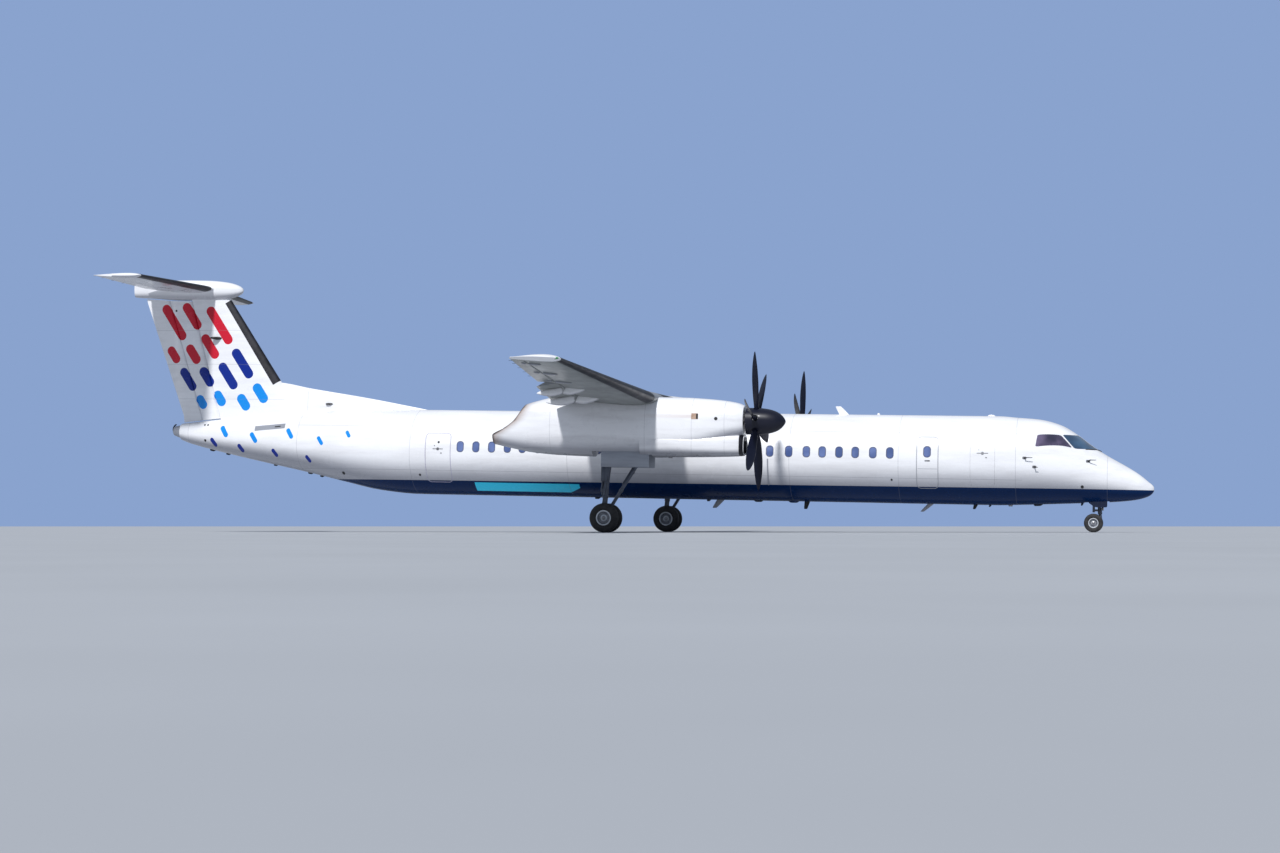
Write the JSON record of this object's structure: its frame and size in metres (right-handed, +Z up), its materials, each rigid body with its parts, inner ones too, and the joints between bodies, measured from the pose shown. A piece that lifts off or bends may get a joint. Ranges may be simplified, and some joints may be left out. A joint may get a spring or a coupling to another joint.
{
  "type": "turboprop airliner",
  "caption": "High-wing regional airliner with wing-mounted turboprops, a T-tail and retractable gear, parked with its flaps part down.",
  "frame": {"origin": "on the ground under the middle of the length and width", "axes": "+X to the nose, +Y to the left wing tip, +Z up; the fuselage stands 1.23 degrees nose down"},
  "size_m": [32.7001, 28.42, 8.2645],
  "materials": {
    "fuselage_paint": "gloss white with a dark blue belly",
    "belly_paint": "gloss",
    "white_paint": "gloss",
    "tail_paint": "gloss with slanted colour bands",
    "wing_paint": "satin",
    "nacelle_paint": "gloss, sooty at the exhaust",
    "door_grey": "satin",
    "bare_metal": "brushed",
    "engine_metal": "satin",
    "propeller_black": "satin",
    "spinner_black": "satin",
    "gear_paint": "satin",
    "rim_grey": "satin",
    "tyre_rubber": "matt",
    "cockpit_glass": "gloss"
  },
  "bodies": {
    "airframe": {"fuselage": "fuselage_paint", "tail_cone": "bare_metal", "wing_fairing": "white_paint", "wing_center": "wing_paint", "fin": "tail_paint", "bullet_fairing": "white_paint", "tailplane": "white_paint", "nose_leg": "gear_paint", "rear_passenger_door": "fuselage_paint", "rear_baggage_door": "fuselage_paint", "rear_service_door": "fuselage_paint", "emergency_exit": "fuselage_paint", "front_baggage_door": "fuselage_paint", "nose_gear_door_left": "belly_paint", "nose_gear_door_right": "belly_paint", "windscreen_left": "cockpit_glass", "side_window_left": "cockpit_glass", "outer_wing_left": "wing_paint", "nacelle_left": "nacelle_paint", "engine_left": "engine_metal", "main_leg_left": "gear_paint", "main_stay_left": "gear_paint", "main_gear_door_left_outer": "door_grey", "main_gear_door_left_inner": "door_grey", "windscreen_right": "cockpit_glass", "side_window_right": "cockpit_glass", "outer_wing_right": "wing_paint", "nacelle_right": "nacelle_paint", "engine_right": "engine_metal", "main_leg_right": "gear_paint", "main_stay_right": "gear_paint", "main_gear_door_right_outer": "door_grey", "main_gear_door_right_inner": "door_grey"},
    "propeller_left": {"propeller_left": "propeller_black", "spinner_left": "spinner_black"},
    "main_wheels_left": {"main_tyre_left_outer": "tyre_rubber", "main_tyre_left_inner": "tyre_rubber", "main_rim_left_outer": "rim_grey", "main_rim_left_inner": "rim_grey"},
    "propeller_right": {"propeller_right": "propeller_black", "spinner_right": "spinner_black"},
    "main_wheels_right": {"main_tyre_right_outer": "tyre_rubber", "main_tyre_right_inner": "tyre_rubber", "main_rim_right_outer": "rim_grey", "main_rim_right_inner": "rim_grey"},
    "nose_fork": {"nose_fork": "gear_paint"},
    "nose_wheels": {"nose_tyre_left": "tyre_rubber", "nose_tyre_right": "tyre_rubber", "nose_rim_left": "rim_grey", "nose_rim_right": "rim_grey"},
    "fore_rudder": {"fore_rudder": "tail_paint"},
    "trailing_rudder": {"trailing_rudder": "tail_paint"},
    "elevator": {"elevator": "white_paint"},
    "aileron_left": {"aileron_left": "wing_paint"},
    "aileron_right": {"aileron_right": "wing_paint"},
    "inboard_flap_left": {"inboard_flap_left": "wing_paint"},
    "inboard_flap_right": {"inboard_flap_right": "wing_paint"},
    "outboard_flap_left": {"outboard_flap_left": "wing_paint"},
    "outboard_flap_right": {"outboard_flap_right": "wing_paint"},
    "airstair_door": {"airstair_door": "fuselage_paint"}
  },
  "joints": [
    {"name": "propeller_left_spin", "type": "hinge", "parent": "airframe", "child": "propeller_left", "pos_m": [5.1006, 4.4, 3.224], "axis": [0.9998, 0, -0.0215], "continuous": true},
    {"name": "main_wheels_left_roll", "type": "hinge", "parent": "airframe", "child": "main_wheels_left", "pos_m": [0.60944, 4.4, 0.43], "axis": [0, 1, 0], "continuous": true},
    {"name": "propeller_right_spin", "type": "hinge", "parent": "airframe", "child": "propeller_right", "pos_m": [5.1006, -4.4, 3.224], "axis": [0.9998, 0, -0.0215], "continuous": true},
    {"name": "main_wheels_right_roll", "type": "hinge", "parent": "airframe", "child": "main_wheels_right", "pos_m": [0.60944, -4.4, 0.43], "axis": [0, 1, 0], "continuous": true},
    {"name": "nose_steering", "type": "hinge", "parent": "airframe", "child": "nose_fork", "pos_m": [14.74699, 0, 0.53581], "axis": [-0.1021, 0, 0.9948], "range_deg": [-70, 70]},
    {"name": "nose_wheels_roll", "type": "hinge", "parent": "nose_fork", "child": "nose_wheels", "pos_m": [14.54944, 0, 0.28], "axis": [0, 1, 0], "continuous": true},
    {"name": "rudder_turn", "type": "hinge", "parent": "airframe", "child": "fore_rudder", "pos_m": [-13.44338, 0, 3.70315], "axis": [-0.2573, 0, 0.9663], "range_deg": [-18, 18]},
    {"name": "trailing_rudder_turn", "type": "hinge", "parent": "fore_rudder", "child": "trailing_rudder", "pos_m": [-14.04324, 0, 3.71606], "axis": [-0.292, 0, 0.9564], "range_deg": [-18, 18]},
    {"name": "elevator_turn", "type": "hinge", "parent": "airframe", "child": "elevator", "pos_m": [-15.0726, 0, 7.93919], "axis": [0, -1, 0], "range_deg": [-25, 17]},
    {"name": "aileron_left_turn", "type": "hinge", "parent": "airframe", "child": "aileron_left", "pos_m": [0.25133, 8.985, 4.2017], "axis": [-0.0826, -0.9952, -0.0525], "range_deg": [-20, 20]},
    {"name": "aileron_right_turn", "type": "hinge", "parent": "airframe", "child": "aileron_right", "pos_m": [0.25133, -8.985, 4.2017], "axis": [0.0826, -0.9952, 0.0525], "range_deg": [-20, 20]},
    {"name": "inboard_flap_left_turn", "type": "hinge", "parent": "airframe", "child": "inboard_flap_left", "pos_m": [-0.02376, 1.4, 3.6845], "axis": [0.0005, -1, -0.0002], "range_deg": [-15, 20]},
    {"name": "inboard_flap_right_turn", "type": "hinge", "parent": "airframe", "child": "inboard_flap_right", "pos_m": [-0.02376, -1.4, 3.6845], "axis": [-0.0005, -1, 0.0002], "range_deg": [-15, 20]},
    {"name": "outboard_flap_left_turn", "type": "hinge", "parent": "airframe", "child": "outboard_flap_left", "pos_m": [-0.01298, 5.06, 3.69654], "axis": [-0.0776, -0.9945, -0.0707], "range_deg": [-15, 20]},
    {"name": "outboard_flap_right_turn", "type": "hinge", "parent": "airframe", "child": "outboard_flap_right", "pos_m": [-0.01298, -5.06, 3.69654], "axis": [0.0776, -0.9945, 0.0707], "range_deg": [-15, 20]},
    {"name": "airstair_door_open", "type": "hinge", "parent": "airframe", "child": "airstair_door", "pos_m": [10.21036, 0.96699, 1.29861], "axis": [-0.9998, 0, 0.0215], "range_deg": [0, 125]}
  ],
  "couplings": [
    {"joint": "trailing_rudder_turn", "follows": "rudder_turn", "ratio": 1},
    {"joint": "aileron_right_turn", "follows": "aileron_left_turn", "ratio": -1},
    {"joint": "inboard_flap_right_turn", "follows": "inboard_flap_left_turn", "ratio": 1},
    {"joint": "outboard_flap_left_turn", "follows": "inboard_flap_left_turn", "ratio": 1},
    {"joint": "outboard_flap_right_turn", "follows": "inboard_flap_left_turn", "ratio": 1}
  ]
}
